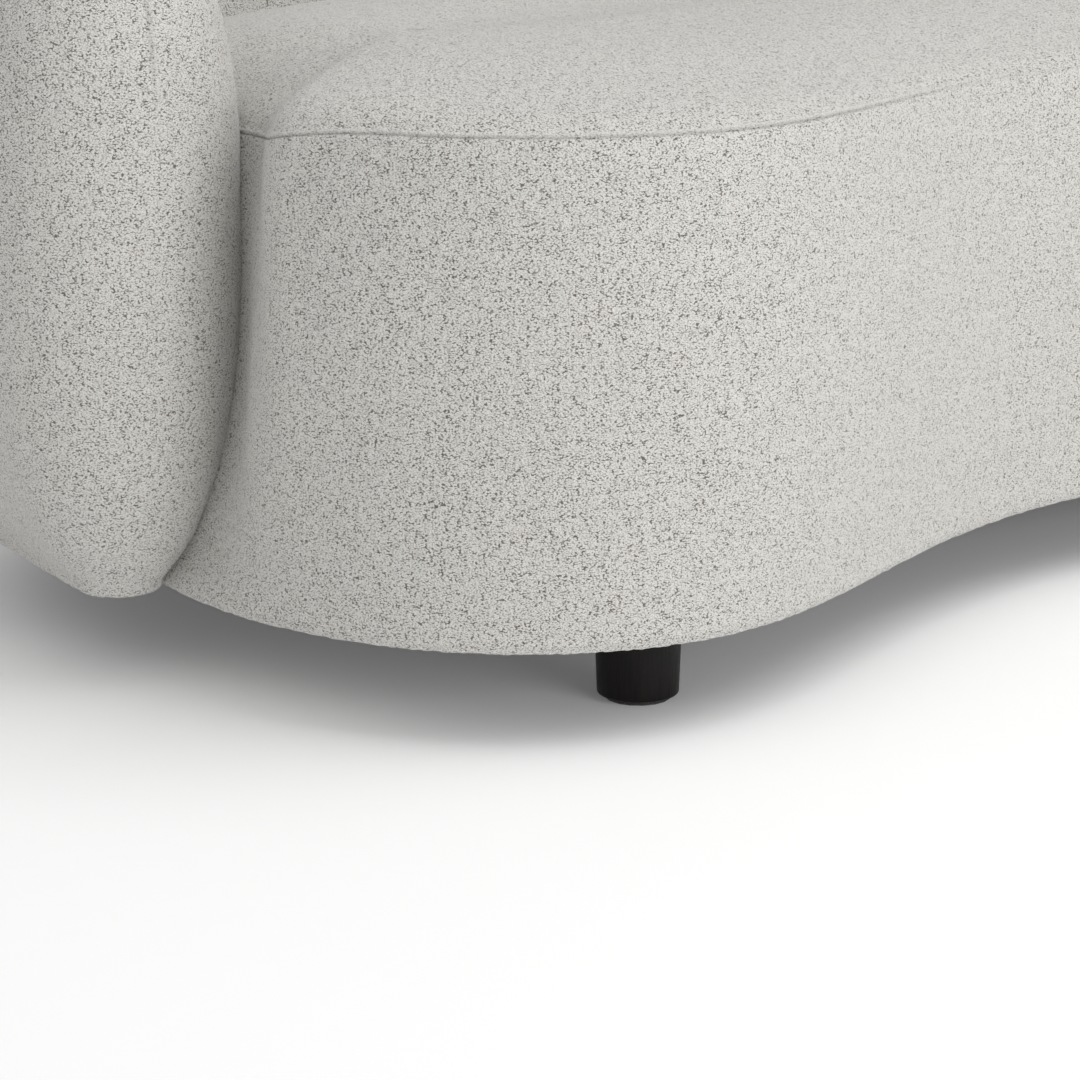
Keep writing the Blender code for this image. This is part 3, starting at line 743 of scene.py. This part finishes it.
def moulded_glide():
    """Black moulded glide with a scuffed, slightly greyed skin."""
    s = Shader("black_moulded_glide")
    scuffs = s.noise(s.mapped((1.0, 0.2, 1.0)), 700.0, 3.0)
    s.color(s.mix(s.ramp(scuffs, 0.5, 0.75), (0.018, 0.018, 0.018), (0.07, 0.07, 0.07)))
    s.rough(s.ramp(scuffs, 0.4, 0.7, 0.42, 0.68))
    s.bump(s.noise(s.place, 1500.0, 1.0), 0.0001, 0.4)
    return s.material


def yarn_relief(points, normals, amount):
    """Push a fabric grid in and out along its normals: single loops, then small clusters of loops."""
    height = lattice_noise(points, 0.0031, 11) * 0.75 + lattice_noise(points, 0.0062, 12) * 0.45
    return points + normals * (height * amount)[..., None]


def seam_profile(distance):
    """Cross-section of a plain sewn seam: a rolled lip on one side, a narrow ditch on the other."""
    lip = np.exp(-((distance - LIP_PLACE) / LIP_WIDTH) ** 2)
    ditch = np.exp(-((distance - DITCH_PLACE) / DITCH_WIDTH) ** 2)
    return lip * LIP_HEIGHT - ditch * DITCH_DEPTH, ditch, lip


def make_seat(fabric):
    """The seat: coarse grid swelled as cloth, read onto a fine grid, then seam and loops."""
    coarse_front = np.linspace(0.0, 1.0, COARSE_FRONT)
    coarse_side = np.linspace(0.0, 1.0, COARSE_SIDE)
    coarse_face = np.linspace(UNDERSIDE_Z + TUCK, SEAM_Z, COARSE_FACE)
    coarse_top = np.linspace(0.0, CROWN_END, COARSE_CROWN)[1:]
    coarse = seat_grid(coarse_front, coarse_side, coarse_face, coarse_top)
    seam_row = HEM_ROWS + COARSE_FACE - 1
    puff = cloth_puff(coarse, [*range(HEM_ROWS + 1), seam_row, len(coarse) - 1])
    front = spread([(0.0, 1.0, FINE_STEP / FRONT_LENGTH)])
    side = spread([(0.0, 0.10, 0.004), (0.10, 1.0, 0.012)])
    near_seam = 0.012
    face = spread([(UNDERSIDE_Z + TUCK, SEAM_Z - near_seam, FINE_STEP),
                   (SEAM_Z - near_seam, SEAM_Z, SEAM_STEP)])
    top = spread([(0.0, 0.03, 0.0022), (0.03, CROWN_END, FINE_STEP / CROWN_DEPTH)])[1:]
    points = seat_grid(front, side, face, top)
    face_places = HEM_ROWS + (face - face[0]) / (face[-1] - face[0]) * (COARSE_FACE - 1)
    top_places = seam_row + top / CROWN_END * len(coarse_top)
    row_places = np.concatenate([np.arange(HEM_ROWS), face_places, top_places])
    corner = COARSE_FRONT - 1
    right = np.concatenate([front * corner, corner + side[1:] * (COARSE_SIDE - 1)])
    whole_ring = 2 * (COARSE_FRONT + COARSE_SIDE) - 4
    column_places = np.concatenate([right, whole_ring - right[1:-1][::-1]])
    points = points + read_field(puff, row_places, column_places)
    normals = grid_normals(points)
    face_row = len(normals) // 3
    normals *= -1.0 if np.mean(normals[face_row, :50, 1]) > 0.0 else 1.0
    seam_index = HEM_ROWS + len(face) - 1
    run = np.linalg.norm(np.diff(points, axis=0), axis=2)
    run = np.concatenate([np.zeros((1, points.shape[1])), np.cumsum(run, axis=0)])
    distance = run - run[seam_index]
    lift, ditch, lip = seam_profile(distance)
    fade = seam_strength(points[seam_index])
    points = points + normals * (lift * fade)[..., None]
    points = yarn_relief(points, normals, YARN_HEIGHT)
    # Stored for the fabric: painted shade along the seam's ditch and a painted highlight along its lip
    marks = {"seam_ditch_painted_shade": ditch * fade * 0.6, "seam_lip_painted_highlight": lip * fade}
    mesh = grid_mesh("seat_upholstery", points, cap_ends=True, marks=marks)
    seat = add_piece("seat_upholstery", mesh, fabric)
    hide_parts("seat_cover", "seat_foam_left", "seat_foam_middle", "seat_foam_right")


def seam_strength(line):
    """The seat seam is crisp over the lobes and pulled almost flat in the hollow middle."""
    return 0.35 + 0.65 * smoothstep((np.abs(line[:, 0]) - 0.42) / 0.25)


def make_back(fabric):
    """The back and arms: one swelled grid round the path, seams over the ridge and arm fronts."""
    lowest = UNDERSIDE_Z + TUCK + 1e-4
    coarse_shares = np.linspace(0.0, 1.0, COARSE_PATH)
    coarse_lower = np.linspace(lowest, WIDEST_Z, COARSE_LOWER)
    coarse_upper = np.linspace(0.0, math.pi / 2.0, COARSE_UPPER)
    coarse, _ = wall_grid(coarse_shares, COARSE_TIP, coarse_lower, coarse_upper)
    puff = cloth_puff(coarse[:-1], [*range(HEM_ROWS + 1), len(coarse) - 2])
    puff = np.concatenate([puff, puff[-1:] * 0.0])
    shares = spread([(0.0, 0.10, 0.0011), (0.10, 0.90, 0.0032), (0.90, 1.0, 0.0011)])
    lower = spread([(lowest, WIDEST_Z, FINE_STEP)])
    upper = spread([(0.0, 1.30, 0.014), (1.30, math.pi / 2.0, 0.006)])
    points, turn = wall_grid(shares, FINE_TIP, lower, upper)
    widest_row = HEM_ROWS + COARSE_LOWER - 1
    low_places = HEM_ROWS + (lower - lower[0]) / (lower[-1] - lower[0]) * (COARSE_LOWER - 1)
    up_places = widest_row + upper[1:] / (math.pi / 2.0) * (COARSE_UPPER - 1)
    row_places = np.concatenate([np.arange(HEM_ROWS), low_places, up_places])
    side_steps = COARSE_PATH - 1
    tip_steps = COARSE_TIP + 1
    side_places = shares * side_steps
    tip_places = (np.arange(FINE_TIP) + 1) / (FINE_TIP + 1) * tip_steps
    half_ring = side_steps + tip_steps
    column_places = np.concatenate([side_places, side_steps + tip_places, half_ring + side_places,
                                    half_ring + side_steps + tip_places])
    points = points + read_field(puff, row_places, column_places)
    normals = grid_normals(points)
    outward = np.mean(normals[len(normals) // 2, :20, 0])
    normals *= -1.0 if outward > 0.0 else 1.0
    height = points[..., 2]
    radius_at_tip = wall_radius(np.ones(1), height[:, :1])
    bend = np.where(turn > math.pi, turn - math.pi, turn)
    bend = np.where((turn == 0.0) | (turn == math.pi), math.pi, bend - math.pi / 2.0)
    sideways = bend[None, :] * radius_at_tip * np.where(turn > math.pi, -1.0, 1.0)[None, :]
    front_fade = smoothstep((height - 0.40) / 0.06)
    lift, ditch, lip = (part * front_fade * 0.8 for part in seam_profile(sideways))
    ridge = np.linalg.norm(points - points[-1:], axis=2)
    top_lift, top_ditch, top_lip = (part * 0.8 for part in seam_profile(ridge))
    lift, ditch, lip = lift + top_lift, np.maximum(ditch, top_ditch), np.maximum(lip, top_lip)
    points = points + normals * lift[..., None]
    inner_rows = np.ones(len(points))
    inner_rows[[0, 1, -1]] = 0.0
    points = yarn_relief(points, normals * inner_rows[:, None, None], YARN_HEIGHT)
    # Stored for the fabric: painted shade along the seams' ditches and a painted highlight along their
    # lips
    marks = {"seam_ditch_painted_shade": ditch * 0.5, "seam_lip_painted_highlight": lip}
    mesh = grid_mesh("back_and_arms_upholstery", points, marks=marks)
    back = add_piece("back_and_arms_upholstery", mesh, fabric)
    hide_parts("back_cover", "back_foam")


def make_leg(node, wood):
    """A turned leg: straight taper, softly rounded foot edge, profile spun about its own centre."""
    low, high = (np.array(corner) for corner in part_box(node))
    centre = (low + high) / 2.0
    top = (high[0] - low[0]) / 2.0
    foot = top - LEG_TAPER
    edge_z = low[2] + LEG_EDGE
    profile = [(0.0, low[2]), (LEG_DISC, low[2])]
    for bend in np.linspace(-math.pi / 2.0, 0.0, 9):
        profile.append((foot - LEG_EDGE + LEG_EDGE * math.cos(bend), edge_z + LEG_EDGE * math.sin(bend)))
    for share in np.linspace(0.0, 1.0, 12)[1:]:
        profile.append((foot + (top - foot) * share, edge_z + (high[2] - edge_z) * share))
    profile += [(top - LEG_DISC, high[2]), (0.0, high[2])]
    turn = np.linspace(0.0, 2.0 * math.pi, LEG_COLUMNS, endpoint=False)
    radius, height = np.array(profile).T
    points = np.stack([centre[0] + radius[:, None] * np.cos(turn),
                       centre[1] + radius[:, None] * np.sin(turn),
                       np.repeat(height[:, None], LEG_COLUMNS, axis=1)], axis=2)
    mesh = grid_mesh(f"turned_{node}", points)
    mesh.set_sharp_from_angle(angle=math.radians(50.0))
    leg = add_piece(f"turned_{node}", mesh, wood)
    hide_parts(node)


def dress_frame(finishes):
    """Give every carried-over CAD node the finish of its material slot."""
    slots = {part["node"]: part["material_slot"] for part in frame["record"]["subparts"]}
    for name, item in frame["nodes"].items():
        made = finishes[slots[name]]
        item.data.materials.clear()
        item.data.materials.append(made)


def make_studio():
    """Pale floor, bright even surround, one soft panel overhead and one in front."""
    size = 14.0
    mesh = bpy.data.meshes.new("studio_floor")
    corners = [(-size, -size, 0.0), (size, -size, 0.0), (size, size, 0.0), (-size, size, 0.0)]
    mesh.from_pydata(corners, [], [(0, 1, 2, 3)])
    floor = bpy.data.objects.new("studio_floor", mesh)
    bpy.context.scene.collection.objects.link(floor)
    paint = Shader("pale_studio_floor")
    paint.set(Base_Color=(0.95, 0.95, 0.95), Roughness=0.9, Specular_IOR_Level=0.1,
              Emission_Color=(1.0, 1.0, 1.0), Emission_Strength=0.08)
    mesh.materials.append(paint.material)
    world = bpy.data.worlds.new("soft_surround")
    world.use_nodes = True
    world.node_tree.nodes["Background"].inputs["Color"].default_value = (1.0, 1.0, 1.0, 1.0)
    world.node_tree.nodes["Background"].inputs["Strength"].default_value = 0.62
    bpy.context.scene.world = world
    add_light("overhead_panel", (1.0, -1.8, 4.0), (-0.2, -0.4, 0.3), (3.4, 3.4), 76.0)
    add_light("front_panel", (0.1, -5.0, 1.4), (-0.4, -0.4, 0.15), (2.8, 1.6), 66.0)


def add_light(name, place, target, size, power):
    """A rectangular soft panel aimed at a point."""
    data = bpy.data.lights.new(name, "AREA")
    data.shape = "RECTANGLE"
    data.size, data.size_y = size
    data.energy = power
    lamp = bpy.data.objects.new(name, data)
    lamp.location = place
    lamp.rotation_euler = (Vector(target) - Vector(place)).to_track_quat("-Z", "Y").to_euler()
    bpy.context.scene.collection.objects.link(lamp)


def make_camera():
    """A long lens at seat height, looking 30 degrees across the front left of the sofa."""
    data = bpy.data.cameras.new("view")
    data.lens = 110.0
    data.sensor_width = 36.0
    data.clip_end = 100.0
    camera = bpy.data.objects.new("view", data)
    camera.location = (-1.946, -2.354, 0.677)
    turn, pitch = math.radians(30.0), math.radians(14.2)
    aim = Vector((math.sin(turn) * math.cos(pitch), math.cos(turn) * math.cos(pitch),
                  -math.sin(pitch)))
    camera.rotation_euler = aim.to_track_quat("-Z", "Y").to_euler()
    bpy.context.scene.collection.objects.link(camera)
    bpy.context.scene.camera = camera
    bpy.context.scene.view_settings.view_transform = "Standard"


make_camera()
make_studio()
fabric = looped_fabric()
wood = stained_wood()
finishes = {
    "boucle": fabric, "foam": open_cell_foam(), "cambric": black_cambric(),
    "plywood": layered_plywood(), "pine": sawn_pine(), "dark_wood": wood,
    "webbing": woven_webbing(), "zinc_steel": plated_steel(), "glide_plastic": moulded_glide(),
}
dress_frame(finishes)
make_seat(fabric)
make_back(fabric)
for node in LEG_NODES:
    make_leg(node, wood)
